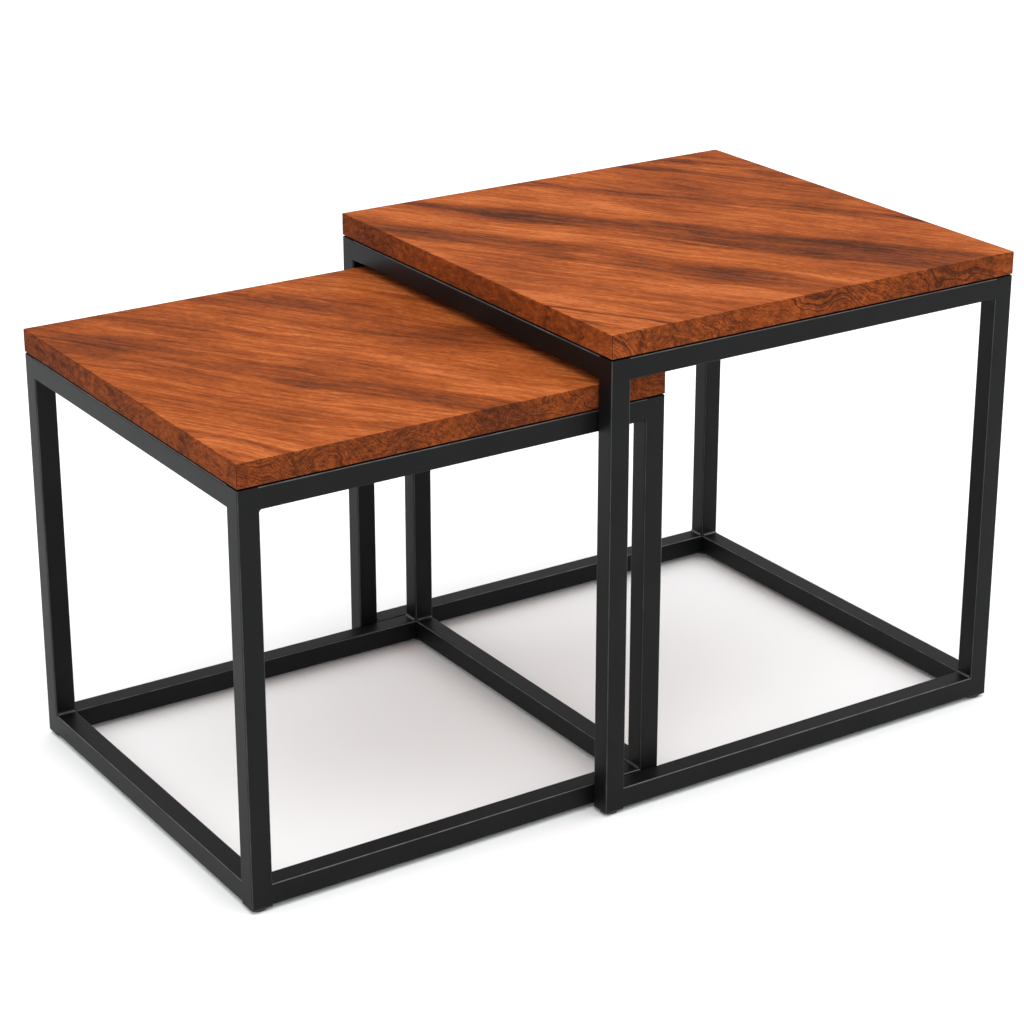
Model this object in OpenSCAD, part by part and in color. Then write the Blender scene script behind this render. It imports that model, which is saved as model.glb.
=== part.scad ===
// Set of two nesting side tables: wooden tops on welded frames of square steel tube.
// +X is to the right, +Y to the back, +Z up. The origin is on the floor, at the centre of the
// footprint of the whole set, with the small table pulled out to the left.

/* [Large table] */
// Side of the large table's square top
large_side = 500; // [440:5:600]
// Height of the large table, floor to top
large_height = 500; // [460:5:600]

/* [Small table] */
// Width of the small table along the way it slides
small_width = 460; // [380:5:475]
// Room between the small table and the large frame, front and back
side_gap = 2; // [2:0.5:8]
// Room between the small top and the large table's left top rail
over_gap = 7.5; // [4:0.5:30]
// How far the small table is pulled out from under the large one
pulled_out = 380; // [200:5:440]

/* [Wood tops] */
// Thickness of both tops
top_thick = 24; // [18:1:30]
// Rounding of the tops' edges
top_round = 1; // [0.5:0.5:3]
// Height of the narrow gap between a top and its frame
shadow_gap = 1.5; // [0.5:0.5:2]

/* [Steel tube] */
// Outer side of the square tube
tube = 22; // [18:1:25]
// Wall of the tube
wall = 1.5; // [1.2:0.1:1.8]
// Outer corner radius of the tube
tube_round = 2; // [2:0.5:3]
// Leg length of the fillet weld beads
weld_leg = 4; // [2:0.5:5]

/* [Corner plates and screws] */
// Side of a corner plate along each rail
plate_side = 46; // [40:1:60]
// Thickness of a corner plate
plate_thick = 5; // [4.5:0.5:6]
// Width left on the plate's cut-off tips
plate_tip = 8; // [6:1:12]
// Shank diameter of the wood screws
screw_shank = 4; // [3.5:0.5:5]
// Length of the screws under the head
screw_length = 16; // [14:1:18]
// Head diameter of the screws
screw_head = 8; // [7:0.5:9]
// Height of the screw heads
screw_head_height = 2.4; // [2:0.1:3]

/* [Feet] */
// Height of a foot below the tube
foot_height = 5; // [4:0.5:8]
// Diameter of the round pad
foot_pad = 18; // [14:0.5:18]
// Thickness of the square flange above the pad
foot_flange = 1; // [0.8:0.1:2]
// Length of the plug inside the tube
foot_plug = 14; // [10:1:18]

/* [Hidden] */
$fn = 48;

small_depth = large_side - 2 * (tube + side_gap);
small_height = large_height - top_thick - shadow_gap - tube - over_gap;

// Left end of the whole set, and the left sides of both tables
set_left = -(large_side + pulled_out) / 2;
large_left = set_left + pulled_out;

// A table is [left, front, width, depth, height]
LARGE = [large_left, -large_side / 2, large_side, large_side, large_height];
SMALL = [set_left, -small_depth / 2, small_width, small_depth, small_height];

// A corner is [name, 1 if right, 1 if back], a rail is [name, 1 if it runs along Y, 1 if far side]
CORNERS = [
    ["front_left", 0, 0], ["front_right", 1, 0], ["back_left", 0, 1], ["back_right", 1, 1]
];
RAILS = [["front", 0, 0], ["back", 0, 1], ["left", 1, 0], ["right", 1, 1]];
BASE_RAILS_LARGE = [for (r = RAILS) if (r[0] != "left") r];

// Each table's name, its sizes and its base rails
TABLES = [["large", LARGE, BASE_RAILS_LARGE], ["small", SMALL, RAILS]];

// Clearance that lets a cut run past a face
past = 1;
// Room round a screw shank in its hole
shank_room = 0.05;
// Extra length of a pilot hole past the screw's point
pilot_room = 1.5;
// Where the two screws sit on a corner plate: along one rail, and off it
screw_edge = 6;
screw_along = plate_side - plate_tip - screw_edge;
screw_off = 9;
screw_spots = [[screw_along, screw_off], [screw_off, screw_along]];
// Screw driver slots: width, length and depth
slot_width = 1.2;
slot_length = 4.6;
slot_depth = 1.4;
// Length of a screw's point, and the radius at its tip
point_length = 4;
point_tip = 0.25;
// How far a screw head narrows towards its outer side
head_taper = 1;
// The foot plug's wall, and how far its sleeve stands in from the tube's inside
plug_wall = 2;
plug_gap = 0.2;
rib_height = 1.6;
rib_step = 4;
pad_round = 1.5;

frame_black = "#2b2b2d";
foot_black = "#1b1b1c";
wood_brown = "#a5562f";
screw_zinc = "#9b9c9e";

// Height of the wood's underside, where it rests on the corner plates
function wood_under(t) = t[4] - top_thick;

// Height of the legs' and top rails' upper side, a narrow gap below the wood
function frame_top(t) = wood_under(t) - shadow_gap;

// Rounded rectangle with its low corner on the origin
module rounded_rect(w, h, r) {
    translate([r, 0]) square([w - 2 * r, h]);
    translate([0, r]) square([w, h - 2 * r]);
    for (x = [r, w - r], y = [r, h - r]) translate([x, y]) circle(r = r);
}

module round_square(side, r) {
    rounded_rect(side, side, r);
}

module tube_section() {
    difference() {
        round_square(tube, tube_round);
        translate([wall, wall]) round_square(tube - 2 * wall, tube_round - wall);
    }
}

// Moves a shape drawn at the front left corner of a table to one of its corners
module at_corner(t, c) {
    translate([t[0] + c[1] * t[2], t[1] + c[2] * t[3], 0])
        mirror([c[1], 0, 0]) mirror([0, c[2], 0]) children();
}

module leg(t, c) {
    color(frame_black) at_corner(t, c)
        translate([0, 0, foot_height])
            linear_extrude(frame_top(t) - foot_height) tube_section();
}

// A rail between two legs, with its underside at height z
module rail(t, r, z) {
    along_y = r[1] == 1;
    length = (along_y ? t[3] : t[2]) - 2 * tube;
    x = along_y ? t[0] + r[2] * (t[2] - tube) : t[0] + tube;
    y = along_y ? t[1] + tube : t[1] + r[2] * (t[3] - tube);
    color(frame_black) translate([x, y, z])
        if (along_y)
            translate([0, 0, tube]) rotate([-90, 0, 0]) linear_extrude(length) tube_section();
        else
            rotate([90, 0, 90]) linear_extrude(length) tube_section();
}

module top_rail(t, r) {
    rail(t, r, frame_top(t) - tube);
}

module base_rail(t, r) {
    rail(t, r, foot_height);
}

// Wooden board with all its edges rounded, drilled from below for the screws
module wood_top(t) {
    pilot = screw_length - plate_thick + pilot_room;
    color(wood_brown) difference() {
        translate([t[0], t[1], wood_under(t)]) rounded_board(t[2], t[3], top_thick, top_round);
        for (c = CORNERS) at_corner(t, c)
            for (s = screw_spots)
                translate([tube + s[0], tube + s[1], wood_under(t) - past])
                    cylinder(h = pilot + past, r = screw_shank / 2 + shank_room);
    }
}

module rounded_board(w, d, h, r) {
    intersection() {
        linear_extrude(h) rounded_rect(w, d, r);
        rotate([90, 0, 90]) linear_extrude(w) rounded_rect(d, h, r);
        translate([0, d, 0]) rotate([90, 0, 0]) linear_extrude(d) rounded_rect(w, h, r);
    }
}

// Steel plate welded into a corner of the top rails. It stands a little above them and carries
// the wood, which leaves the narrow gap all round.
module corner_plate(t, c) {
    color(frame_black) at_corner(t, c)
        translate([tube, tube, wood_under(t) - plate_thick])
            linear_extrude(plate_thick) difference() {
                polygon([
                    [0, 0], [plate_side, 0], [plate_side, plate_tip],
                    [plate_tip, plate_side], [0, plate_side]
                ]);
                for (s = screw_spots) translate(s) circle(r = screw_shank / 2 + shank_room);
            }
}

// One wood screw, pointing up, with the underside of its head at height 0
module wood_screw() {
    shank = screw_shank / 2;
    difference() {
        translate([0, 0, -screw_head_height])
            cylinder(h = screw_head_height, r1 = screw_head / 2 - head_taper, r2 = screw_head / 2);
        for (turn = [0, 90]) rotate([0, 0, turn])
            translate([-slot_length / 2, -slot_width / 2, -screw_head_height - past])
                cube([slot_length, slot_width, slot_depth + past]);
    }
    cylinder(h = screw_length - point_length, r = shank);
    translate([0, 0, screw_length - point_length])
        cylinder(h = point_length, r1 = shank, r2 = point_tip);
}

module top_screws(t) {
    color(screw_zinc) for (c = CORNERS) at_corner(t, c)
        for (s = screw_spots)
            translate([tube + s[0], tube + s[1], wood_under(t) - plate_thick]) wood_screw();
}

// Bead of a fillet weld, along X, in the corner between a floor and a wall
module bead(length) {
    rotate([90, 0, 90]) linear_extrude(length)
        polygon([[0, 0], [weld_leg, 0], [0, weld_leg]]);
}

// The weld beads at one corner. Each lies across a rail's side that faces the opening,
// against the leg. A rail along X has its bead along Y, and a rail along Y has it along X.
module corner_beads(along_x, along_y) {
    bead_length = tube - 2 * tube_round;
    if (along_x) translate([tube, tube_round, 0]) mirror([1, -1, 0]) bead(bead_length);
    if (along_y) translate([tube_round, tube, 0]) bead(bead_length);
}

// 1 if a table has a base rail of that name
function has_rail(rails, name) = len([for (r = rails) if (r[0] == name) r]) > 0;

module weld_beads(t, base_rails) {
    color(frame_black) for (c = CORNERS) {
        x_side = c[2] == 1 ? "back" : "front";
        y_side = c[1] == 1 ? "right" : "left";
        at_corner(t, c) {
            translate([0, 0, frame_top(t) - tube]) mirror([0, 0, 1]) corner_beads(true, true);
            translate([0, 0, foot_height + tube])
                corner_beads(has_rail(base_rails, x_side), has_rail(base_rails, y_side));
        }
    }
}

// Push-in foot: round pad, square flange, and a ribbed sleeve inside the tube
module foot(t, c) {
    bore = tube - 2 * wall;
    bore_round = tube_round - wall;
    pad_height = foot_height - foot_flange;
    color(foot_black) at_corner(t, c) {
        translate([tube / 2, tube / 2, 0]) rotate_extrude() {
            square([foot_pad / 2 - pad_round, pad_height]);
            translate([0, pad_round]) square([foot_pad / 2, pad_height - pad_round]);
            translate([foot_pad / 2 - pad_round, pad_round]) circle(r = pad_round);
        }
        translate([0, 0, pad_height]) linear_extrude(foot_flange) round_square(tube, tube_round);
        translate([0, 0, foot_height]) difference() {
            union() {
                translate([wall + plug_gap, wall + plug_gap, 0]) linear_extrude(foot_plug)
                    round_square(bore - 2 * plug_gap, bore_round);
                for (z = [rib_step / 2 : rib_step : foot_plug - rib_height])
                    translate([wall, wall, z])
                        linear_extrude(rib_height) round_square(bore, bore_round);
            }
            translate([wall + plug_gap + plug_wall, wall + plug_gap + plug_wall, 0])
                cube([
                    bore - 2 * (plug_gap + plug_wall), bore - 2 * (plug_gap + plug_wall),
                    foot_plug + past
                ]);
        }
    }
}

for (t = TABLES) {
    wood_top(t[1]);
    top_screws(t[1]);
    weld_beads(t[1], t[2]);
    for (r = RAILS)
        top_rail(t[1], r);
    for (r = t[2])
        base_rail(t[1], r);
    for (c = CORNERS) {
        leg(t[1], c);
        corner_plate(t[1], c);
        foot(t[1], c);
    }
}
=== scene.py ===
# %% [markdown]
# # Nesting tables
# A pair of side tables: wooden boards screwed to welded frames of black square steel tube. The
# smaller one slides in under the larger one. The engineering model is already done, so this lesson
# loads it as a fixed frame and builds what the eye sees around it: tubes, welds, screws and wood.
# Loading it first means that every piece takes its place from a named part, with nothing fitted
# by hand.

# %% Load the frame
import math

import bmesh
import bpy
from mathutils import Matrix, Vector, noise


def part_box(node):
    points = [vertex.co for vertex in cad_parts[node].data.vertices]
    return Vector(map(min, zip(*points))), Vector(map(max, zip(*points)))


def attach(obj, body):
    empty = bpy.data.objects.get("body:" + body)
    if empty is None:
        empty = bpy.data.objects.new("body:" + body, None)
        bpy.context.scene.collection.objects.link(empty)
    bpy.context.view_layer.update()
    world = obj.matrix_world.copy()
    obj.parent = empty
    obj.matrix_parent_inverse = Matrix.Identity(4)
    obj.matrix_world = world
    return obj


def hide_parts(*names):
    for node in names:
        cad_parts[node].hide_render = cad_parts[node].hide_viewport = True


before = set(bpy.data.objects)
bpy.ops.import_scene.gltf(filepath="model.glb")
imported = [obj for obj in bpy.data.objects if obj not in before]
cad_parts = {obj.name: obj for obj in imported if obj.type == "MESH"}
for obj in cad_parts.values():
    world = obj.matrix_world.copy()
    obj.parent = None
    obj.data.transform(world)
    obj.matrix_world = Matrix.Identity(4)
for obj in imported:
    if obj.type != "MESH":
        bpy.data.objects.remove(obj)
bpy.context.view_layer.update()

# %% [markdown]
# ## Camera
# A product shot like this one is taken with a long lens from a few metres away, so that the legs
# stay nearly parallel. A camera could be placed by its location and angles, but it is easier to
# think of it as standing round a point that it looks at: so far round, so far up, so far off.
# The lens is shifted a little, as on a view camera, which keeps the uprights from leaning.

# %% Camera
AIM_POINT = Vector((0.0070, 0.0210, 0.3081))
CAMERA_ROUND = math.radians(-33.248)
CAMERA_UP = math.radians(20.275)
CAMERA_OFF = 2.8034
CAMERA_LENS = 95.02
LENS_RISE = -0.0781

to_camera = Vector((
    math.sin(CAMERA_ROUND) * math.cos(CAMERA_UP),
    -math.cos(CAMERA_ROUND) * math.cos(CAMERA_UP),
    math.sin(CAMERA_UP),
))
camera = bpy.data.objects.new("camera", bpy.data.cameras.new("camera"))
bpy.context.scene.collection.objects.link(camera)
camera.location = AIM_POINT + to_camera * CAMERA_OFF
camera.rotation_euler = (-to_camera).to_track_quat("-Z", "Y").to_euler()
camera.data.lens = CAMERA_LENS
camera.data.shift_y = LENS_RISE
bpy.context.scene.camera = camera
print("camera at", camera.location)

# %% [markdown]
# ## Node helpers
# Materials and Geometry Nodes are both trees of nodes. Wiring them one call at a time makes long
# listings, so two small helpers do it: one adds a node and fills or links its inputs, and one adds
# a step of arithmetic. An input is named as it is on the node, or numbered where names repeat.

# %% Node helpers
NODE_SPACING = 190
ROW_LENGTH = 12
FLAT_FACING = 0.985
ROUND_FACING = 0.72


def add_node(tree, kind, inputs=None, **settings):
    """Adds a node. A value in inputs fills a socket, and another node's output is linked to it."""
    node = tree.nodes.new(kind)
    place = len(tree.nodes)
    node.location = (NODE_SPACING * (place % ROW_LENGTH), -2 * NODE_SPACING * (place // ROW_LENGTH))
    for name, value in settings.items():
        setattr(node, name, value)
    for name, value in (inputs or {}).items():
        if isinstance(value, bpy.types.NodeSocket):
            tree.links.new(value, node.inputs[name])
        else:
            node.inputs[name].default_value = value
    return node


def calc(tree, operation, *values):
    """One Math node: the operation on the values, as a socket."""
    return add_node(tree, "ShaderNodeMath", dict(enumerate(values)), operation=operation).outputs[0]


def total(tree, first, *others):
    """The sum of several sockets."""
    for other in others:
        first = calc(tree, "ADD", first, other)
    return first


def surface_facing(tree):
    """The direction that a surface faces, as X, Y and Z."""
    normal = add_node(tree, "ShaderNodeNewGeometry").outputs["Normal"]
    return add_node(tree, "ShaderNodeSeparateXYZ", {0: normal}).outputs


def roundness(tree):
    """How far a surface turns away from the six straight directions: 0 on a flat, 1 at 45 degrees."""
    facing = surface_facing(tree)
    parts = [calc(tree, "ABSOLUTE", facing[axis]) for axis in "XYZ"]
    most = calc(tree, "MAXIMUM", parts[0], calc(tree, "MAXIMUM", parts[1], parts[2]))
    return add_node(tree, "ShaderNodeMapRange", {
        "Value": most, "From Min": FLAT_FACING, "From Max": ROUND_FACING,
    }, interpolation_type="SMOOTHSTEP").outputs[0]


# %% [markdown]
# ## Wood: reading the board
# Both tops are single boards of a red-brown hardwood under a satin finish. Wood could be faked by
# laying streaks on each face, but the streaks would then stop at the edges. Here the pattern is a
# solid one: it fills space, and each face of the board shows the slice that it cuts. The board was
# sawn at a slant, so the pattern is turned about the vertical until one axis runs along the grain.
# From there on, "along" is a distance down the grain, "across" one over it, and "deep" the height
# in the board, all in millimetres from the board's front left corner.

# %% Grain coordinates
GRAIN_TURN = math.radians(57)
MM = 1000


def grain_space(tree, corner):
    """The point on the board as (along, across, deep), in millimetres."""
    turn = Matrix.Rotation(GRAIN_TURN, 3, "Z")
    place = add_node(tree, "ShaderNodeTexCoord").outputs["Object"]
    return add_node(tree, "ShaderNodeMapping", {
        "Vector": place,
        "Location": -(turn @ corner) * MM,
        "Rotation": (0, 0, GRAIN_TURN),
        "Scale": (MM, MM, MM),
    }).outputs[0]


def grain_noise(tree, place, stretch, size, detail=2.0, rough=0.5, offset=0.0):
    """Noise with lumps of about that size in millimetres, drawn out along the grain."""
    squeezed = add_node(tree, "ShaderNodeVectorMath", {
        0: place,
        1: (1 / stretch, 1, 1),
        2: (offset, offset, offset),
    }, operation="MULTIPLY_ADD").outputs[0]
    return add_node(tree, "ShaderNodeTexNoise", {
        "Vector": squeezed, "Scale": 1 / size, "Detail": detail, "Roughness": rough,
    }).outputs["Fac"]


def centred(tree, value, reach):
    """A noise value moved to lie from about -reach to +reach."""
    return calc(tree, "MULTIPLY_ADD", value, 2 * reach, -reach)


# %% [markdown]
# ## Wood: bands of heartwood
# The darker heartwood shows as long bands that follow the grain, each with one firm edge and one
# that fades. Random bands would never fall where this board has them, so each is listed:
# how far across it lies, how it drifts and widens along the grain, how soft and how dark it is.
# All bands are drawn by one node group, so that each is a single node in the finished material.

# %% Heartwood band group
BAND_INPUTS = ["Along", "Across", "Position", "Drift", "Half Width", "Growth",
               "Soft Near", "Soft Far", "Dark"]


def heartwood_band_group():
    group = bpy.data.node_groups.new("heartwood band", "ShaderNodeTree")
    for name in BAND_INPUTS:
        group.interface.new_socket(name, in_out="INPUT", socket_type="NodeSocketFloat")
    group.interface.new_socket("Tone", in_out="OUTPUT", socket_type="NodeSocketFloat")
    given = group.nodes.new("NodeGroupInput").outputs
    middle = calc(group, "MULTIPLY_ADD", given["Along"], given["Drift"], given["Position"])
    half = calc(group, "MULTIPLY_ADD", given["Along"], given["Growth"], given["Half Width"])
    off = calc(group, "SUBTRACT", given["Across"], middle)
    sides = []
    for sign, soft in ((-1, "Soft Near"), (1, "Soft Far")):
        outward = calc(group, "MULTIPLY", off, sign)
        past = calc(group, "SUBTRACT", outward, half)
        sides.append(add_node(group, "ShaderNodeMapRange", {
            "Value": past,
            "From Min": given[soft],
            "From Max": calc(group, "MULTIPLY", given[soft], -1),
        }, interpolation_type="SMOOTHERSTEP").outputs[0])
    both = calc(group, "MULTIPLY", sides[0], sides[1])
    tone = calc(group, "MULTIPLY", both, given["Dark"])
    group.links.new(tone, group.nodes.new("NodeGroupOutput").inputs["Tone"])
    return group


heartwood_band = heartwood_band_group()
print("band group:", [item.name for item in heartwood_band.interface.items_tree])

# %% Bands and clouds of each board
# One row per band: position, drift, half width, growth, soft near, soft far, dark
LARGE_BANDS = [
    (226, -0.05, 24, -0.01, 18, 12, 0.40),
    (350, 0.03, 32, 0.045, 24, 10, 0.54),
    (484, 0.09, 9, 0.0, 16, 8, 0.52),
    (589, 0.07, 10, 0.0, 16, 8, 0.50),
    (651, 0.17, 7, 0.0, 8, 6, 0.50),
    (620, 0.0, 3, 0.0, 6, 5, 0.35),
    (60, 0.0, 2, 0.0, 4, 3, 0.5),
    (24, 0.0, 2, 0.0, 4, 3, 0.5),
    (136, 0.0, 14, 0.0, 20, 20, 0.25),
]
SMALL_BANDS = [
    (224, 0.0, 18, 0.03, 14, 10, 0.42),
    (398, 0.1, 22, 0.05, 30, 26, 0.40),
    (50, 0.0, 3, 0.0, 5, 4, 0.4),
    (135, 0.05, 10, 0.0, 16, 16, 0.3),
]
# One row per cloud: along, across, long radius, cross radius, dark
LARGE_CLOUDS = [
    (150, 340, 110, 50, 0.35), (-190, 130, 90, 40, 0.2), (-30, 540, 260, 130, 0.24),
]
SMALL_CLOUDS = [
    (-261, 237, 100, 50, 0.46), (-266, 399, 50, 22, 0.32), (-95, 240, 62, 28, 0.44),
    (21, 400, 70, 42, 0.46), (-160, 421, 140, 40, 0.38), (-270, 300, 190, 170, 0.30),
]


def dark_cloud(tree, along, across, cloud):
    """A soft dark patch, longer along the grain."""
    along_middle, across_middle, long_radius, cross_radius, dark = cloud
    a = calc(tree, "DIVIDE", calc(tree, "SUBTRACT", along, along_middle), long_radius)
    b = calc(tree, "DIVIDE", calc(tree, "SUBTRACT", across, across_middle), cross_radius)
    off = calc(tree, "ADD", calc(tree, "MULTIPLY", a, a), calc(tree, "MULTIPLY", b, b))
    return calc(tree, "MULTIPLY", calc(tree, "EXPONENT", calc(tree, "MULTIPLY", off, -1)), dark)


# %% [markdown]
# ## Wood: the material
# The tone of the wood is a sum, from light to dark: the bands and clouds, broad mottling, streaks a
# few millimetres wide, fine fibres, and the lines of the yearly rings. The ring lines are faint on
# the top, where the saw ran along them, and plain on the edges, where it cut them across. Short
# pores are cut in as dark dashes. The side faces get a darker tone than the top, which is painted
# shade, and the rounded arrises get painted shade as well, darkest where they face sideways or down.
# The tone then picks a colour from a ramp, and the same patterns drive the gloss and the relief,
# because pores and soft fibres drink the finish and sink a little.

# %% Wood material
WOOD_TONES = [
    (0.00, (0.450, 0.128, 0.036, 1)),
    (0.30, (0.300, 0.070, 0.016, 1)),
    (0.55, (0.200, 0.045, 0.011, 1)),
    (0.80, (0.112, 0.028, 0.010, 1)),
    (1.00, (0.060, 0.017, 0.008, 1)),
]
# Distances in millimetres
SLOW_SWAY = 22
QUICK_SWAY = 12
FRAY = 14
RING_SPACING = 1.25
RING_SWIRL = 46
RING_SWING = 42
RING_SHIVER = 2.4
RING_SLANT = (0.30, 0.62)
# Shares of the tone
STREAK_TONE = 0.60
MOTTLE_TONE = 0.50
FIBRE_TONE = 0.42
FLECK_TONE = 0.34
PORE_TONE = 0.16
TOP_TONE = 0.25
EDGE_CALM = 0.70
EDGE_FADE = 0.55
RINGS_ON_TOP = 0.05
RINGS_ON_EDGES = 0.10
RINGS_ON_ENDS = 0.36
# Painted shade on the rounded arrises, and how much of it is taken off where they face upward
ARRIS_PAINTED_SHADE = 0.75
ARRIS_SHADE_LESS_UPWARD = 0.50
# Gloss and relief
WOOD_ROUGH = 0.46
WOOD_SHINE = 0.012
WOOD_BUMP = 0.35
WOOD_RELIEF = 0.00025


def ramp(tree, value, stops):
    """A colour ramp with its stops at the given places."""
    node = add_node(tree, "ShaderNodeValToRGB", {"Fac": value})
    points = node.color_ramp.elements
    for spot, colour in stops[1:-1]:
        points.new(spot)
    for point, (spot, colour) in zip(points, stops):
        point.position = spot
        point.color = colour
    return node.outputs["Color"]


def wood_material(name, corner, bands, clouds, side_painted_shade, offset):
    material = bpy.data.materials.new(name)
    material.use_nodes = True
    tree = material.node_tree
    shader = tree.nodes["Principled BSDF"]
    place = grain_space(tree, corner)

    # The grain wanders: across is pushed about by a slow noise and a quicker one
    split = add_node(tree, "ShaderNodeSeparateXYZ", {0: place}).outputs
    slow = centred(tree, grain_noise(tree, place, 2.0, 120, 1.0, 0.5, offset), SLOW_SWAY)
    quick = centred(
        tree, grain_noise(tree, place, 4.5, 26, 3.0, 0.5, offset + 40), QUICK_SWAY
    )
    across = total(tree, split["Y"], slow, quick)
    wandering = add_node(tree, "ShaderNodeCombineXYZ", {
        "X": split["X"], "Y": across, "Z": split["Z"],
    }).outputs[0]

    # Bands and clouds, frayed at their edges by the streaks and broken up along their length
    streaks = centred(
        tree, grain_noise(tree, wandering, 22, 6.0, 4.0, 0.65, offset + 13), STREAK_TONE
    )
    frayed = calc(tree, "MULTIPLY_ADD", streaks, FRAY, across)
    tone = None
    for band in bands:
        given = dict(zip(BAND_INPUTS, (split["X"], frayed) + band))
        node = tree.nodes.new("ShaderNodeGroup")
        node.node_tree = heartwood_band
        for key, value in given.items():
            if isinstance(value, bpy.types.NodeSocket):
                tree.links.new(value, node.inputs[key])
            else:
                node.inputs[key].default_value = value
        tone = node.outputs[0] if tone is None else calc(tree, "MAXIMUM", tone, node.outputs[0])
    for cloud in clouds:
        tone = calc(tree, "MAXIMUM", tone, dark_cloud(tree, split["X"], across, cloud))
    broken = grain_noise(tree, wandering, 3.0, 45, 3.0, 0.55, offset + 7)
    tone = calc(tree, "MULTIPLY", tone, calc(tree, "MULTIPLY_ADD", broken, 0.9, 0.45))

    # Mottling, streaks and fibres
    mottle = centred(
        tree, grain_noise(tree, wandering, 2.2, 60, 5.0, 0.62, offset + 90), MOTTLE_TONE
    )
    fibres = centred(
        tree, grain_noise(tree, wandering, 14, 1.3, 3.0, 0.7, offset + 31), FIBRE_TONE
    )
    flecks = centred(
        tree, grain_noise(tree, place, 3.0, 2.6, 3.0, 0.7, offset + 57), FLECK_TONE
    )

    # Rings, faint on the top, soft on the sides and plain on the ends
    facing = surface_facing(tree)
    edge = calc(tree, "SUBTRACT", 1.0, calc(tree, "ABSOLUTE", facing["Z"]))
    end = calc(tree, "ABSOLUTE", facing["Y"])
    calm = calc(tree, "MULTIPLY_ADD", edge, -EDGE_CALM, 1.0)
    loose = calc(tree, "MULTIPLY", total(tree, mottle, flecks), calm)
    tone = calc(tree, "MULTIPLY", tone, calc(tree, "MULTIPLY_ADD", edge, -EDGE_FADE, 1.0))
    swirl = grain_noise(tree, place, 1.3, RING_SWIRL, 1.0, 0.4, offset + 71)
    shiver = centred(
        tree, grain_noise(tree, place, 1.2, 9, 2.0, 0.5, offset + 77), RING_SHIVER
    )
    ring_place = total(
        tree,
        calc(tree, "MULTIPLY", split["Y"], RING_SLANT[0]),
        calc(tree, "MULTIPLY", split["Z"], RING_SLANT[1]),
        calc(tree, "MULTIPLY", swirl, RING_SWING),
        shiver,
    )
    ring_lines = grain_noise(
        tree, add_node(tree, "ShaderNodeCombineXYZ", {"X": ring_place}).outputs[0],
        1.0, RING_SPACING, 3.0, 0.7, offset + 19,
    )
    ring_line = add_node(tree, "ShaderNodeMapRange", {
        "Value": ring_lines, "From Min": 0.44, "From Max": 0.66,
    }, interpolation_type="SMOOTHSTEP").outputs[0]
    ring_fade = grain_noise(tree, place, 1.5, 14, 3.0, 0.6, offset + 83)
    ring_share = calc(tree, "MULTIPLY_ADD", ring_fade, 1.0, 0.35)
    ring_dark = total(
        tree,
        calc(tree, "MULTIPLY", edge, RINGS_ON_EDGES),
        calc(tree, "MULTIPLY_ADD", end, RINGS_ON_ENDS, RINGS_ON_TOP),
    )
    rings = calc(tree, "MULTIPLY", ring_line, calc(tree, "MULTIPLY", ring_dark, ring_share))

    # Painted shade on the arrises, least where they face upward towards the light
    upward = calc(tree, "MAXIMUM", facing["Z"], 0.0)
    arris_painted_shade = calc(tree, "MULTIPLY_ADD", upward, -ARRIS_SHADE_LESS_UPWARD, ARRIS_PAINTED_SHADE)

    # Pores: short dark dashes
    pore_noise = grain_noise(tree, wandering, 9, 1.5, 1.0, 0.5, offset + 23)
    pores = add_node(tree, "ShaderNodeMapRange", {
        "Value": pore_noise, "From Min": 0.64, "From Max": 0.74,
    }).outputs[0]

    sum_of_tones = total(
        tree, tone, loose, streaks, fibres, rings,
        # The side faces get a darker tone than the top: painted shade
        calc(tree, "MULTIPLY_ADD", edge, side_painted_shade, TOP_TONE),
        # Painted shade on the arrises
        calc(tree, "MULTIPLY", roundness(tree), arris_painted_shade),
    )
    full_tone = calc(tree, "MULTIPLY_ADD", pores, PORE_TONE, sum_of_tones)
    colour = ramp(tree, full_tone, WOOD_TONES)
    tree.links.new(colour, shader.inputs["Base Color"])

    # Gloss and relief
    rough = total(
        tree,
        calc(tree, "MULTIPLY_ADD", streaks, 0.25, WOOD_ROUGH),
        calc(tree, "MULTIPLY", pores, 0.2),
        calc(tree, "MULTIPLY", edge, 0.12),
    )
    tree.links.new(rough, shader.inputs["Roughness"])
    height = total(
        tree,
        calc(tree, "MULTIPLY", fibres, 0.5),
        calc(tree, "MULTIPLY", pores, -0.5),
        calc(tree, "MULTIPLY", rings, 0.8),
    )
    bump = add_node(tree, "ShaderNodeBump", {
        "Strength": WOOD_BUMP, "Distance": WOOD_RELIEF, "Height": height,
    })
    tree.links.new(bump.outputs[0], shader.inputs["Normal"])
    shader.inputs["Specular IOR Level"].default_value = WOOD_SHINE
    return material


# %% Wood materials of the two boards
def front_left_corner(node):
    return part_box(node)[0]


# The fifth value of each board is the painted shade on its side faces
WOOD = {
    "large": wood_material("oiled wood of the large top", front_left_corner("large_wood_top"),
                           LARGE_BANDS, LARGE_CLOUDS, 0.25, 3.0),
    "small": wood_material("oiled wood of the small top", front_left_corner("small_wood_top"),
                           SMALL_BANDS, SMALL_CLOUDS, 0.36, 211.0),
}
for table, material in WOOD.items():
    print(table, "wood:", len(material.node_tree.nodes), "nodes")

# %% [markdown]
# ## Powder coat
# The steel is powder coated: paint dust is baked on until it flows into a tough black skin, never
# quite flat. Under a lamp it shows fine orange peel and a satin sheen that differs a little from
# place to place. Where the tube turns a corner, a painted highlight is laid into the colour as a
# fine pale line, brightest where the corner faces upward towards the light, and the corner is
# made a little glossier too. A plain black would look like a hole in the picture, so the base is a
# very dark grey with faint clouds. The painted highlight needs no drawn mask: every tube is square
# to the room, so a normal that points in none of the six straight directions must be on a rounded
# corner.

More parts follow.
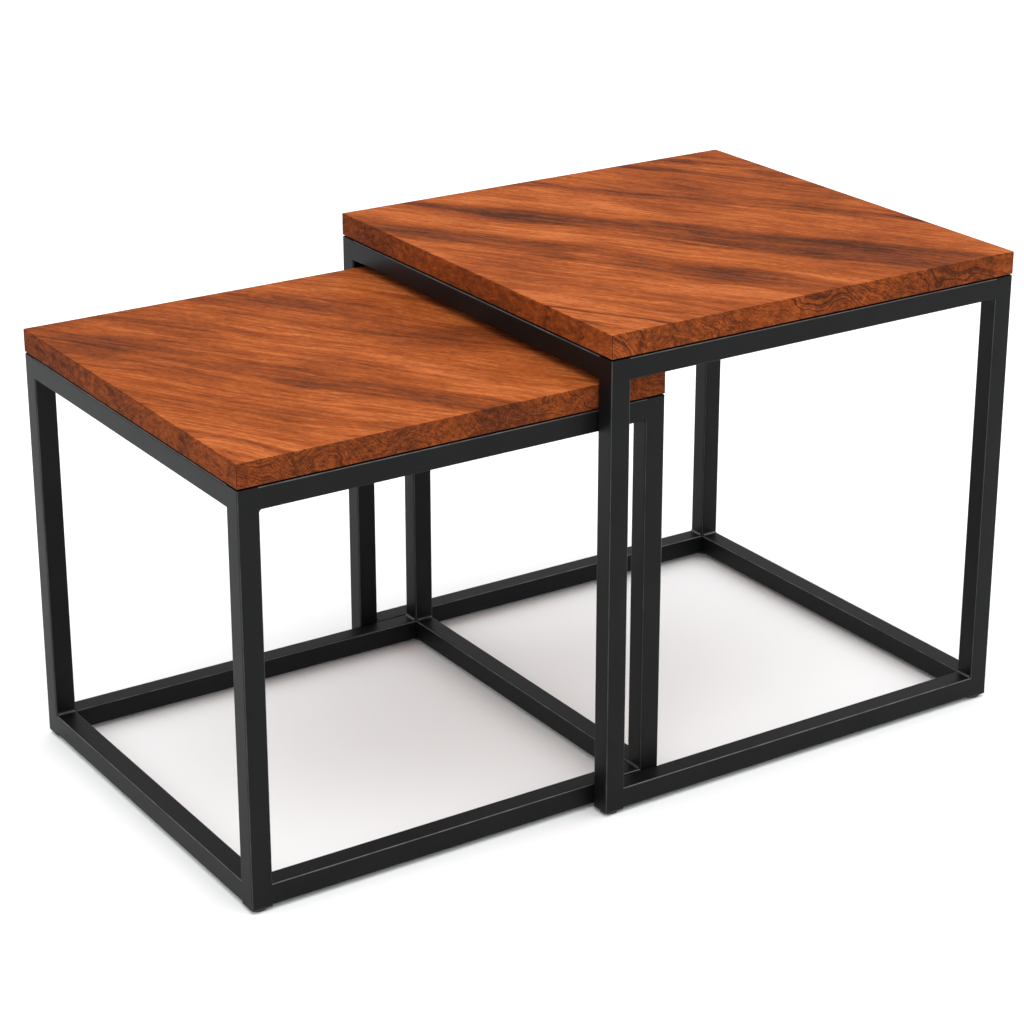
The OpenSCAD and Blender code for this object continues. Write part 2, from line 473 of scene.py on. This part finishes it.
# %% Powder coat material
COAT_DARK = (0.0022, 0.0023, 0.0025, 1)
COAT_LIGHT = (0.0070, 0.0070, 0.0073, 1)
# Colour of the painted highlight laid along the rounded corners of the tubes
COAT_PAINTED_HIGHLIGHT = (0.085, 0.086, 0.088, 1)
PEEL_SIZE = 0.0011
PEEL_DEPTH = 0.00003
PEEL_BUMP = 0.5
CLOUD_SIZE = 0.06
# Lump size of the noise that breaks up the painted highlight
HIGHLIGHT_BREAKUP_SIZE = 0.025
COAT_ROUGH = 0.32
COAT_SHINE = 0.12
# Extra shine where the painted highlight lies
HIGHLIGHT_EDGE_SHINE = 0.5


def space_noise(tree, size, detail=2.0, rough=0.5, stretch=(1, 1, 1)):
    """Noise in plain object space, with lumps of about that size in metres."""
    place = add_node(tree, "ShaderNodeTexCoord").outputs["Object"]
    squeezed = add_node(tree, "ShaderNodeVectorMath", {0: place, 1: stretch},
                        operation="MULTIPLY").outputs[0]
    return add_node(tree, "ShaderNodeTexNoise", {
        "Vector": squeezed, "Scale": 1 / size, "Detail": detail, "Roughness": rough,
    }).outputs["Fac"]


def new_material(name):
    material = bpy.data.materials.new(name)
    material.use_nodes = True
    return material, material.node_tree, material.node_tree.nodes["Principled BSDF"]


def add_relief(tree, shader, height, strength, distance):
    bump = add_node(tree, "ShaderNodeBump", {
        "Strength": strength, "Distance": distance, "Height": height,
    })
    tree.links.new(bump.outputs[0], shader.inputs["Normal"])


def powder_coat():
    material, tree, shader = new_material("black powder coat")
    clouds = space_noise(tree, CLOUD_SIZE, 3.0)
    peel = space_noise(tree, PEEL_SIZE, 2.0, 0.6)
    highlight_breakup = space_noise(tree, HIGHLIGHT_BREAKUP_SIZE, 4.0, 0.6)
    body = ramp(tree, total(
        tree, calc(tree, "MULTIPLY", clouds, 0.7), calc(tree, "MULTIPLY", peel, 0.3)
    ), [(0.25, COAT_DARK), (0.75, COAT_LIGHT)])
    # Painted highlight: the rounded corners get a pale colour, broken up by noise
    painted_highlight = calc(tree, "MULTIPLY", roundness(tree), calc(tree, "MULTIPLY_ADD", highlight_breakup, 1.6, -0.1))
    # The painted highlight is brightest on corners that face upward, towards the light
    upward = surface_facing(tree)["Z"]
    painted_highlight = calc(tree, "MULTIPLY", painted_highlight, calc(tree, "MULTIPLY_ADD", upward, 0.9, 0.45))
    mix = add_node(tree, "ShaderNodeMix", data_type="RGBA")
    tree.links.new(painted_highlight, mix.inputs["Factor"])
    tree.links.new(body, mix.inputs[6])
    mix.inputs[7].default_value = COAT_PAINTED_HIGHLIGHT
    tree.links.new(mix.outputs[2], shader.inputs["Base Color"])
    rough = total(
        tree,
        calc(tree, "MULTIPLY_ADD", clouds, 0.12, COAT_ROUGH),
        calc(tree, "MULTIPLY", peel, 0.1),
        calc(tree, "MULTIPLY", painted_highlight, -0.12),
    )
    tree.links.new(rough, shader.inputs["Roughness"])
    tree.links.new(calc(tree, "MULTIPLY_ADD", painted_highlight, HIGHLIGHT_EDGE_SHINE, COAT_SHINE),
                   shader.inputs["Specular IOR Level"])
    add_relief(tree, shader, peel, PEEL_BUMP, PEEL_DEPTH)
    return material


coat = powder_coat()

# %% [markdown]
# ## Moulded plastic and zinc
# The feet are injection moulded: their skin carries the fine grain of the mould, and they scuff
# where they touch the floor. The screws are zinc plated, which is bright but streaked, with a
# slight colour of its own. Both are seen only from below, yet they are finished like the rest.

# %% Foot plastic and screw zinc
MOULD_GRAIN = 0.0004
SCUFF_SIZE = 0.004
PLATING_SIZE = 0.0012
TURNED_SIZE = 0.0006
TURNED_STRETCH = (1, 1, 6)
FINE_BUMP = 0.4
MOULD_DEPTH = 0.00003
TURNED_DEPTH = 0.00002
PLASTIC_TONES = [
    (0.30, (0.010, 0.010, 0.010, 1)),
    (0.55, (0.014, 0.014, 0.015, 1)),
    (0.75, (0.030, 0.030, 0.031, 1)),
]
ZINC_TONES = [
    (0.25, (0.36, 0.36, 0.37, 1)),
    (0.55, (0.52, 0.52, 0.51, 1)),
    (0.80, (0.62, 0.60, 0.54, 1)),
]


def foot_plastic():
    material, tree, shader = new_material("foot plastic")
    grain = space_noise(tree, MOULD_GRAIN, 2.0, 0.6)
    scuffs = space_noise(tree, SCUFF_SIZE, 4.0, 0.7)
    colour = ramp(tree, scuffs, PLASTIC_TONES)
    tree.links.new(colour, shader.inputs["Base Color"])
    tree.links.new(calc(tree, "MULTIPLY_ADD", scuffs, 0.3, 0.45), shader.inputs["Roughness"])
    add_relief(tree, shader, grain, FINE_BUMP, MOULD_DEPTH)
    return material


def screw_zinc():
    material, tree, shader = new_material("screw zinc")
    plating = space_noise(tree, PLATING_SIZE, 4.0, 0.6)
    turned = space_noise(tree, TURNED_SIZE, 2.0, 0.5, TURNED_STRETCH)
    colour = ramp(tree, plating, ZINC_TONES)
    tree.links.new(colour, shader.inputs["Base Color"])
    tree.links.new(calc(tree, "MULTIPLY_ADD", plating, 0.3, 0.2), shader.inputs["Roughness"])
    shader.inputs["Metallic"].default_value = 1.0
    add_relief(tree, shader, turned, FINE_BUMP, TURNED_DEPTH)
    return material


foot_material = foot_plastic()
zinc = screw_zinc()

# %% [markdown]
# ## Running a geometry tree
# A Geometry Nodes tree makes a shape from a few named sizes. The shapes here are needed as plain
# meshes, one for each real piece, so each tree is run once by a modifier, its result is copied
# into the object, and the modifier is taken off again. Each input is set by its identifier before
# the first evaluation, because a name is only a label and may be used twice.

# %% Geometry tree helpers
def new_geometry_tree(name, inputs):
    """An empty tree with a geometry input, named sizes, and a geometry output."""
    tree = bpy.data.node_groups.new(name, "GeometryNodeTree")
    tree.interface.new_socket("Geometry", in_out="INPUT", socket_type="NodeSocketGeometry")
    for title, kind in inputs.items():
        tree.interface.new_socket(title, in_out="INPUT", socket_type=kind)
    tree.interface.new_socket("Geometry", in_out="OUTPUT", socket_type="NodeSocketGeometry")
    return tree, tree.nodes.new("NodeGroupInput").outputs


def finish_geometry_tree(tree, shape, material):
    """Ends a tree with Realize Instances and Set Material."""
    real = add_node(tree, "GeometryNodeRealizeInstances", {"Geometry": shape}).outputs[0]
    painted = add_node(tree, "GeometryNodeSetMaterial", {"Geometry": real}).outputs[0]
    painted.node.inputs["Material"].default_value = material
    tree.links.new(painted, tree.nodes.new("NodeGroupOutput").inputs[0])


SHARP_EDGE = math.radians(35)


def run_tree(tree, name, start, sizes):
    """An object whose mesh is the tree's result, with the modifier already gone."""
    piece = bpy.data.objects.new(name, start)
    bpy.context.scene.collection.objects.link(piece)
    run = piece.modifiers.new(tree.name, "NODES")
    run.node_group = tree
    for item in tree.interface.items_tree:
        if item.in_out == "INPUT" and item.name in sizes:
            run[item.identifier] = sizes[item.name]
    ready = piece.evaluated_get(bpy.context.evaluated_depsgraph_get())
    made = bpy.data.meshes.new_from_object(ready)
    piece.modifiers.remove(run)
    piece.data = made
    made.name = name
    return piece


def even_shading(piece):
    """Round edges shade softly, and the flat faces beside them stay flat."""
    piece.data.shade_smooth()
    piece.data.set_sharp_from_angle(angle=SHARP_EDGE)
    weigh = piece.modifiers.new("even shading", "WEIGHTED_NORMAL")
    weigh.keep_sharp = True


# %% [markdown]
# ## Square tube
# Legs and rails are lengths of one square tube, cold formed from strip, so its outer corners are
# round and the inside is hollow. It could be a box with bevelled edges, but then it would be a
# solid bar. The tree draws the true section instead, a filleted square with a smaller one cut out
# of it, and extrudes it to length. The rails run on a little way into the rounding of the legs, as
# they do once a welder has ground the outer seams flush.

# %% Square tube tree
TUBE_WALL = 0.0015
TUBE_ROUND = 0.002
ROUND_STEPS = 5
SAME_PLACE = 0.00001


def square_tube_tree():
    tree, given = new_geometry_tree("square tube", {
        "Side": "NodeSocketFloat", "Wall": "NodeSocketFloat",
        "Corner Radius": "NodeSocketFloat", "Length": "NodeSocketFloat",
    })
    two_walls = calc(tree, "MULTIPLY", given["Wall"], 2.0)
    loops = []
    for side, radius in (
        (given["Side"], given["Corner Radius"]),
        (calc(tree, "SUBTRACT", given["Side"], two_walls),
         calc(tree, "SUBTRACT", given["Corner Radius"], given["Wall"])),
    ):
        square = add_node(tree, "GeometryNodeCurvePrimitiveQuadrilateral", {
            "Width": side, "Height": side,
        }).outputs[0]
        loops.append(add_node(tree, "GeometryNodeFilletCurve", {
            "Curve": square, "Radius": radius, "Count": ROUND_STEPS,
        }, mode="POLY").outputs[0])
    joined = add_node(tree, "GeometryNodeJoinGeometry")
    for loop in loops:
        tree.links.new(loop, joined.inputs[0])
    section = add_node(tree, "GeometryNodeFillCurve", {"Curve": joined.outputs[0]},
                       mode="NGONS").outputs[0]
    swept = add_node(tree, "GeometryNodeExtrudeMesh", {
        "Mesh": section, "Offset Scale": given["Length"], "Individual": False,
    }).outputs[0]
    bottom = add_node(tree, "GeometryNodeFlipFaces", {"Mesh": section}).outputs[0]
    whole = add_node(tree, "GeometryNodeJoinGeometry")
    tree.links.new(swept, whole.inputs[0])
    tree.links.new(bottom, whole.inputs[0])
    welded = add_node(tree, "GeometryNodeMergeByDistance", {
        "Geometry": whole.outputs[0], "Distance": SAME_PLACE,
    }).outputs[0]
    finish_geometry_tree(tree, welded, coat)
    return tree


tube_tree = square_tube_tree()

# %% Legs and rails
AXIS_TURNS = {
    0: Matrix.Rotation(math.radians(90), 4, "Y"),
    1: Matrix.Rotation(math.radians(-90), 4, "X"),
    2: Matrix.Identity(4),
}


def tube_piece(node, name, reach):
    """A tube in the place of a CAD node, longer by reach at each end."""
    low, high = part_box(node)
    size = high - low
    axis = max(range(3), key=lambda i: size[i])
    piece = run_tree(tube_tree, name, bpy.data.meshes.new(name), {
        "Side": min(size), "Wall": TUBE_WALL, "Corner Radius": TUBE_ROUND,
        "Length": size[axis] + 2 * reach,
    })
    start = (low + high) / 2
    start[axis] = low[axis] - reach
    piece.data.transform(Matrix.Translation(start) @ AXIS_TURNS[axis])
    even_shading(piece)
    return piece


TABLES = {"large": "large_table", "small": "small_table"}
tubes = [n for n in sorted(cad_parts) if "_leg_" in n or "_rail_" in n]
for node in tubes:
    table = node.split("_")[0]
    reach = TUBE_ROUND if "_rail_" in node else 0.0
    piece = tube_piece(node, node + "_tube", reach)
    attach(piece, TABLES[table])
    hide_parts(node)
print("tubes made:", len(tubes))

# %% [markdown]
# ## Weld beads
# Each rail is joined to a leg by a fillet weld on the side that faces the opening. It rounds off
# the corner of the opening, and it is laid drop by drop, each drop setting as a small overlapping
# scale. One smooth strip would round the corner but miss the scales. So one drop is modelled, a
# thin hollow-faced wedge that swells in the middle, and the tree sets it at each step along the
# joint. A small random size, from a fixed seed, keeps the scales from looking cast.

# %% Weld drop
WELD_LEG = 0.0040
WELD_ROOT = 0.0004
WELD_PITCH = 0.0020
ARC_STEPS = 6
DROP_SECTIONS = [(-0.60, 0.90), (-0.2, 0.99), (0.2, 1.0), (0.60, 0.93)]


def weld_drop():
    """A wedge between the two axes. Its hollow face is a quarter circle from one to the other."""
    turns = [math.pi / 2 * i / ARC_STEPS for i in range(ARC_STEPS + 1)]
    face = [(1 - math.sin(turn), 1 - math.cos(turn)) for turn in turns]
    shape = bmesh.new()
    sections = []
    for height, swell in DROP_SECTIONS:
        leg = WELD_LEG * swell
        outline = [(x * leg, y * leg) for x, y in face]
        outline += [(-WELD_ROOT, outline[-1][1]), (-WELD_ROOT, -WELD_ROOT),
                    (outline[0][0], -WELD_ROOT)]
        sections.append([shape.verts.new((x, y, height * WELD_PITCH)) for x, y in outline])
    for lower, upper in zip(sections, sections[1:]):
        for i in range(len(lower)):
            j = (i + 1) % len(lower)
            shape.faces.new((lower[i], lower[j], upper[j], upper[i]))
    shape.faces.new(sections[0])
    shape.faces.new(sections[-1])
    bmesh.ops.recalc_face_normals(shape, faces=shape.faces)
    mesh = bpy.data.meshes.new("weld drop")
    shape.to_mesh(mesh)
    shape.free()
    drop = bpy.data.objects.new("weld drop", mesh)
    bpy.context.scene.collection.objects.link(drop)
    return drop


drop = weld_drop()
print("weld drop:", len(drop.data.polygons), "faces")

# %% [markdown]
# The tree has to know which way the rail and the leg lie at each joint, so every joint line brings
# two directions with it as attributes. From those two the tree works out how to turn a drop.

# %% Weld tree
WELD_SEED = 5
SMALLEST_DROP = (0.93, 0.93, 0.95)
LARGEST_DROP = (1.0, 1.0, 1.1)
RAIL_WAY = "rail_way"
LEG_WAY = "leg_way"


def named_direction(tree, name):
    return add_node(tree, "GeometryNodeInputNamedAttribute", {"Name": name},
                    data_type="FLOAT_VECTOR").outputs[0]


def weld_tree_on_lines():
    tree, given = new_geometry_tree("weld beads", {
        "Pitch": "NodeSocketFloat", "Weld Drop": "NodeSocketObject", "Seed": "NodeSocketInt",
    })
    lines = add_node(tree, "GeometryNodeMeshToCurve", {"Mesh": given["Geometry"]}).outputs[0]
    steps = add_node(tree, "GeometryNodeResampleCurve", {
        "Curve": lines, "Length": given["Pitch"],
    }, mode="LENGTH").outputs[0]
    shape = add_node(tree, "GeometryNodeObjectInfo", {"Object": given["Weld Drop"]})
    turn = add_node(tree, "FunctionNodeAxesToRotation", {
        "Primary Axis": named_direction(tree, RAIL_WAY),
        "Secondary Axis": named_direction(tree, LEG_WAY),
    }, primary_axis="X", secondary_axis="Y").outputs[0]
    size = add_node(tree, "FunctionNodeRandomValue", {
        "Min": SMALLEST_DROP, "Max": LARGEST_DROP, "Seed": given["Seed"],
    }, data_type="FLOAT_VECTOR").outputs[0]
    drops = add_node(tree, "GeometryNodeInstanceOnPoints", {
        "Points": steps, "Instance": shape.outputs["Geometry"], "Rotation": turn, "Scale": size,
    }).outputs[0]
    finish_geometry_tree(tree, drops, coat)
    return tree


weld_tree = weld_tree_on_lines()

# %% Weld beads
WELD_INSET = TUBE_ROUND + WELD_PITCH / 2


def joint_lines(table):
    """A mesh of plain edges, one along each weld of a table, with the ways of rail and leg."""
    points, rail_ways, leg_ways = [], [], []
    for node in tubes:
        if not node.startswith(table) or "_rail_" not in node:
            continue
        low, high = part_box(node)
        along = 0 if high.x - low.x > high.y - low.y else 1
        over = 1 - along
        under = "_top_rail_" in node
        for end, way in ((low[along], 1), (high[along], -1)):
            rail_way = [0, 0, 0]
            rail_way[along] = way
            for side in (low[over] + WELD_INSET, high[over] - WELD_INSET):
                point = [0, 0, low.z if under else high.z]
                point[along], point[over] = end, side
                points.append(point)
                rail_ways.extend(rail_way)
                leg_ways.extend((0, 0, -1 if under else 1))
    mesh = bpy.data.meshes.new(table + "_joint_lines")
    mesh.from_pydata(points, [(i, i + 1) for i in range(0, len(points), 2)], [])
    for name, values in ((RAIL_WAY, rail_ways), (LEG_WAY, leg_ways)):
        mesh.attributes.new(name, "FLOAT_VECTOR", "POINT").data.foreach_set("vector", values)
    return mesh


for table, body in TABLES.items():
    lines = joint_lines(table)
    bead_count = len(lines.edges)
    welds = run_tree(weld_tree, table + "_frame_welds", lines, {
        "Pitch": WELD_PITCH, "Weld Drop": drop, "Seed": WELD_SEED,
    })
    welds.data.shade_smooth()
    welds.data.set_sharp_from_angle(angle=SHARP_EDGE)
    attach(welds, body)
    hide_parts(table + "_weld_beads")
    print(table, "welds:", bead_count, "beads,", len(welds.data.polygons), "faces")
bpy.data.objects.remove(drop)

# %% [markdown]
# ## Screws
# Eight wood screws hold each top, two through every corner plate. A screw has a domed head with a
# cross recess, a plain shank and a thread. The head and shank are turned parts, so their outline is
# spun round the axis. The thread is a ridge on a spiral, which is a rule, so the tree sweeps it and
# then sets the whole screw on each of the eight points.

# %% Screw blank
SCREW_STEPS = 24
SCREW_OUTLINE = [
    (0.0000, -0.0024), (0.0016, -0.0023), (0.0028, -0.0019), (0.0036, -0.0012), (0.0040, -0.0004),
    (0.0040, 0.0000), (0.0016, 0.0000), (0.0016, 0.0120), (0.0008, 0.0145), (0.0000, 0.0160),
]
RECESS_WIDTH = 0.0012
RECESS_LENGTH = 0.0046
RECESS_DEPTH = 0.0013


def spun(name, outline, steps):
    """A closed turned shape about the vertical axis, from an outline of (radius, height) points."""
    shape = bmesh.new()
    points = [shape.verts.new((radius, 0, height)) for radius, height in outline]
    edges = [shape.edges.new(pair) for pair in zip(points, points[1:])]
    bmesh.ops.spin(shape, geom=points + edges, axis=(0, 0, 1), cent=(0, 0, 0),
                   steps=steps, angle=math.tau)
    bmesh.ops.remove_doubles(shape, verts=shape.verts, dist=SAME_PLACE)
    bmesh.ops.recalc_face_normals(shape, faces=shape.faces)
    mesh = bpy.data.meshes.new(name)
    shape.to_mesh(mesh)
    shape.free()
    return mesh


def box_mesh(name, low, high):
    """A plain box between two corners, for cutting with."""
    shape = bmesh.new()
    bmesh.ops.create_cube(shape, size=1.0)
    size = Vector(high) - Vector(low)
    bmesh.ops.transform(shape, verts=shape.verts,
                        matrix=Matrix.Translation((Vector(low) + Vector(high)) / 2)
                        @ Matrix.Diagonal(size.to_4d()))
    mesh = bpy.data.meshes.new(name)
    shape.to_mesh(mesh)
    shape.free()
    return mesh


def cut_away(piece, cutters):
    """Cuts each mesh out of the piece, for good."""
    for mesh in cutters:
        cutter = bpy.data.objects.new("cutter", mesh)
        bpy.context.scene.collection.objects.link(cutter)
        cut = piece.modifiers.new("cut", "BOOLEAN")
        cut.operation, cut.solver, cut.object = "DIFFERENCE", "EXACT", cutter
        ready = piece.evaluated_get(bpy.context.evaluated_depsgraph_get())
        made = bpy.data.meshes.new_from_object(ready)
        piece.modifiers.remove(cut)
        piece.data = made
        bpy.data.objects.remove(cutter)


blank = bpy.data.objects.new("screw blank", spun("screw blank", SCREW_OUTLINE, SCREW_STEPS))
bpy.context.scene.collection.objects.link(blank)
head_end = SCREW_OUTLINE[0][1]
long_half, wide_half = RECESS_LENGTH / 2, RECESS_WIDTH / 2
cut_away(blank, [
    box_mesh("recess", (-x, -y, head_end - RECESS_DEPTH), (x, y, head_end + RECESS_DEPTH))
    for x, y in ((long_half, wide_half), (wide_half, long_half))
])
print("screw blank:", len(blank.data.polygons), "faces")

# %% Screw tree
THREAD_RADIUS = 0.0015
THREAD_RIDGE = 0.0006
THREAD_TURNS = 6.0
THREAD_LENGTH = 0.0110
THREAD_START = 0.0012
THREAD_STEPS = 14
RIDGE_SIDES = 3


def screw_tree_on_points():
    tree, given = new_geometry_tree("screws", {
        "Screw Blank": "NodeSocketObject", "Thread Radius": "NodeSocketFloat",
        "Thread Ridge": "NodeSocketFloat", "Thread Length": "NodeSocketFloat",
        "Thread Turns": "NodeSocketFloat", "Thread Start": "NodeSocketFloat",
    })
    path = add_node(tree, "GeometryNodeCurveSpiral", {
        "Resolution": THREAD_STEPS, "Rotations": given["Thread Turns"],
        "Start Radius": given["Thread Radius"], "End Radius": given["Thread Radius"],
        "Height": given["Thread Length"],
    }).outputs[0]
    ridge = add_node(tree, "GeometryNodeCurvePrimitiveCircle", {
        "Resolution": RIDGE_SIDES, "Radius": given["Thread Ridge"],
    }, mode="RADIUS").outputs[0]
    thread = add_node(tree, "GeometryNodeCurveToMesh", {
        "Curve": path, "Profile Curve": ridge, "Fill Caps": True,
    }).outputs[0]
    lift = add_node(tree, "ShaderNodeCombineXYZ", {2: given["Thread Start"]}).outputs[0]
    placed = add_node(tree, "GeometryNodeTransform", {
        "Geometry": thread, "Translation": lift,
    }).outputs[0]
    body = add_node(tree, "GeometryNodeObjectInfo", {"Object": given["Screw Blank"]})
    whole = add_node(tree, "GeometryNodeJoinGeometry")
    tree.links.new(body.outputs["Geometry"], whole.inputs[0])
    tree.links.new(placed, whole.inputs[0])
    screws = add_node(tree, "GeometryNodeInstanceOnPoints", {
        "Points": given["Geometry"], "Instance": whole.outputs[0],
    }).outputs[0]
    finish_geometry_tree(tree, screws, zinc)
    return tree


screw_tree = screw_tree_on_points()

# %% Screws
SCREW_ALONG = 0.032
SCREW_OFF = 0.009
CORNERS = [("front_left", 1, 1), ("front_right", -1, 1), ("back_left", 1, -1),
           ("back_right", -1, -1)]


def screw_points(table):
    """A mesh of eight points, where the screw heads meet the corner plates."""
    points = []
    for corner, right, back in CORNERS:
        low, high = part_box(table + "_corner_plate_" + corner)
        x = low.x if right > 0 else high.x
        y = low.y if back > 0 else high.y
        for along, off in ((SCREW_ALONG, SCREW_OFF), (SCREW_OFF, SCREW_ALONG)):
            points.append((x + right * along, y + back * off, low.z))
    mesh = bpy.data.meshes.new(table + "_screw_points")
    mesh.from_pydata(points, [], [])
    return mesh


for table, body in TABLES.items():
    screws = run_tree(screw_tree, table + "_screws", screw_points(table), {
        "Screw Blank": blank, "Thread Radius": THREAD_RADIUS, "Thread Ridge": THREAD_RIDGE,
        "Thread Length": THREAD_LENGTH, "Thread Turns": THREAD_TURNS,
        "Thread Start": THREAD_START,
    })
    screws.data.shade_smooth()
    screws.data.set_sharp_from_angle(angle=SHARP_EDGE)
    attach(screws, body)
    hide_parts(table + "_top_screws")
    print(table, "screws:", len(screws.data.polygons), "faces")
bpy.data.objects.remove(blank)

# %% [markdown]
# ## Wood tops
# A top is one thick board whose sharp edges were eased with sandpaper. A box with a bevel would be
# too perfect to be wood: sanding by hand leaves the faces very slightly hollow here and there, and
# takes more off the arrises in some places than in others. So the bevelled board is cut into a
# grid, and each point sinks inwards by a little noise, most of all along the arrises. It never
# swells, so the board keeps its size. The eight blind holes for the screws are then drilled.

# %% Wood tops
ARRIS_ROUND = 0.0010
ARRIS_STEPS = 4
GRID_STEP = 0.008
FACE_SINK = 0.00010
ARRIS_SINK = 0.00016
SINK_LUMP = 0.070
FACING_SHARE = 0.2
ON_PLANE = 0.000001
HOLE_RADIUS = 0.0021
HOLE_DEPTH = 0.0125
HOLE_STEPS = 16


def cut_grid(shape, axis, start, stop, step):
    """Cuts the shape by evenly spaced planes across one axis."""
    count = round((stop - start) / step)
    normal = [0, 0, 0]
    normal[axis] = 1
    for i in range(1, count):
        place = [0, 0, 0]
        place[axis] = start + (stop - start) * i / count
        bmesh.ops.bisect_plane(shape, geom=shape.verts[:] + shape.edges[:] + shape.faces[:],
                               dist=ON_PLANE, plane_co=place, plane_no=normal)


def sunk(point, normal, underside):
    """Where a point of the board's skin lies after sanding."""
    lump = 0.5 + 0.5 * noise.noise(point / SINK_LUMP)
    sides = sum(1 for part in normal if abs(part) > FACING_SHARE)
    depth = FACE_SINK if sides == 1 else ARRIS_SINK
    if point.z < underside + ARRIS_ROUND:
        depth = 0
    return point - normal * depth * lump


def wood_top(table, material):
    low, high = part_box(table + "_wood_top")
    mesh = box_mesh(table + "_board", low, high)
    shape = bmesh.new()
    shape.from_mesh(mesh)
    bmesh.ops.bevel(shape, geom=shape.edges[:], offset=ARRIS_ROUND, segments=ARRIS_STEPS,
                    profile=0.5, affect="EDGES")
    for axis in (0, 1):
        cut_grid(shape, axis, low[axis] + ARRIS_ROUND, high[axis] - ARRIS_ROUND, GRID_STEP)
    bmesh.ops.recalc_face_normals(shape, faces=shape.faces)
    shape.normal_update()
    moved = [sunk(vert.co, vert.normal, low.z) for vert in shape.verts]
    for vert, place in zip(shape.verts, moved):
        vert.co = place
    shape.to_mesh(mesh)
    shape.free()
    mesh.materials.append(material)
    board = bpy.data.objects.new(table + "_board", mesh)
    bpy.context.scene.collection.objects.link(board)
    outline = [(0, -HOLE_RADIUS), (HOLE_RADIUS, -HOLE_RADIUS), (HOLE_RADIUS, HOLE_DEPTH),
               (0, HOLE_DEPTH + HOLE_RADIUS)]
    drills = []
    for point in screw_points(table).vertices:
        drill = spun("drill", outline, HOLE_STEPS)
        drill.transform(Matrix.Translation((point.co.x, point.co.y, low.z)))
        drills.append(drill)
    cut_away(board, drills)
    return board


for table, body in TABLES.items():
    board = wood_top(table, WOOD[table])
    even_shading(board)
    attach(board, body)
    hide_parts(table + "_wood_top")
    print(table, "top:", len(board.data.polygons), "faces")

# %% [markdown]
# ## Plates and feet
# The corner plates and the push-in feet are already right in the engineering model: a plate is cut
# flat from steel, and a foot is a plain moulding with its ribs and flange. The plates stand a
# little above the rails, so that a dark line shows between wood and frame. They all keep their
# shape and only get their finish. A part from the model is never moved or reshaped, so the finish is put
# into its own material slot.

# %% Plates and feet
KEPT = {"_corner_plate_": coat, "_foot_": foot_material}
for node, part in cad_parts.items():
    for word, material in KEPT.items():
        if word in node:
            part.data.materials.clear()
            part.data.materials.append(material)

# %% [markdown]
# ## Floor and light
# A plain white floor, wide enough to fill the view, under soft studio light. Most of the light
# comes from the room itself, bright overhead, dimmer at the height of the table and dimmer again
# towards the back, and one wide lamp overhead adds a little. More lamps could shape the light, but
# each one would also draw its own shadow. The camera sees the room as plain white, and the picture
# is shown without a film curve, so that white stays white.

# %% Floor and light
FLOOR_SIDE = 60
FLOOR_WHITE = (0.920, 0.935, 0.938, 1)
WALL_LIGHT = 0.36
CEILING_LIGHT = 2.15
BACK_DIMMER = 0.35


def white_floor():
    mesh = bpy.data.meshes.new("floor")
    half = FLOOR_SIDE / 2
    mesh.from_pydata([(-half, -half, 0), (half, -half, 0), (half, half, 0), (-half, half, 0)],
                     [], [(0, 1, 2, 3)])
    floor = bpy.data.objects.new("floor", mesh)
    bpy.context.scene.collection.objects.link(floor)
    material, tree, shader = new_material("floor paint")
    shader.inputs["Base Color"].default_value = FLOOR_WHITE
    shader.inputs["Roughness"].default_value = 0.9
    shader.inputs["Specular IOR Level"].default_value = 0.0
    mesh.materials.append(material)


def soft_lamp(name, place, target, size, watts):
    lamp = bpy.data.objects.new(name, bpy.data.lights.new(name, "AREA"))
    bpy.context.scene.collection.objects.link(lamp)
    lamp.location = place
    lamp.rotation_euler = (Vector(target) - Vector(place)).to_track_quat("-Z", "Y").to_euler()
    lamp.data.shape = "RECTANGLE"
    lamp.data.size, lamp.data.size_y = size
    lamp.data.energy = watts
    return lamp


white_floor()
soft_lamp("overhead lamp", (-0.5, -0.6, 3.0), (0, 0, 0), (2.4, 2.4), 10)
world = bpy.data.worlds.new("white room")
bpy.context.scene.world = world
world.use_nodes = True
room = world.node_tree
for spare in list(room.nodes):
    room.nodes.remove(spare)
seen = add_node(room, "ShaderNodeBackground", {"Color": (1, 1, 1, 1), "Strength": 1.0})
looking = add_node(room, "ShaderNodeTexCoord").outputs["Generated"]
upward = add_node(room, "ShaderNodeSeparateXYZ", {0: looking}).outputs["Z"]
height_light = add_node(room, "ShaderNodeMapRange", {
    "Value": upward, "To Min": WALL_LIGHT, "To Max": CEILING_LIGHT,
}).outputs[0]
backward = add_node(room, "ShaderNodeSeparateXYZ", {0: looking}).outputs["Y"]
strength = calc(room, "MULTIPLY", height_light,
                calc(room, "MULTIPLY_ADD", backward, -BACK_DIMMER, 1.0))
felt = add_node(room, "ShaderNodeBackground", {"Color": (1, 1, 1, 1), "Strength": strength})
pick = add_node(room, "ShaderNodeMixShader", {
    0: add_node(room, "ShaderNodeLightPath").outputs["Is Camera Ray"],
    1: felt.outputs[0], 2: seen.outputs[0],
})
add_node(room, "ShaderNodeOutputWorld", {"Surface": pick.outputs[0]})
bpy.context.scene.view_settings.view_transform = "Standard"
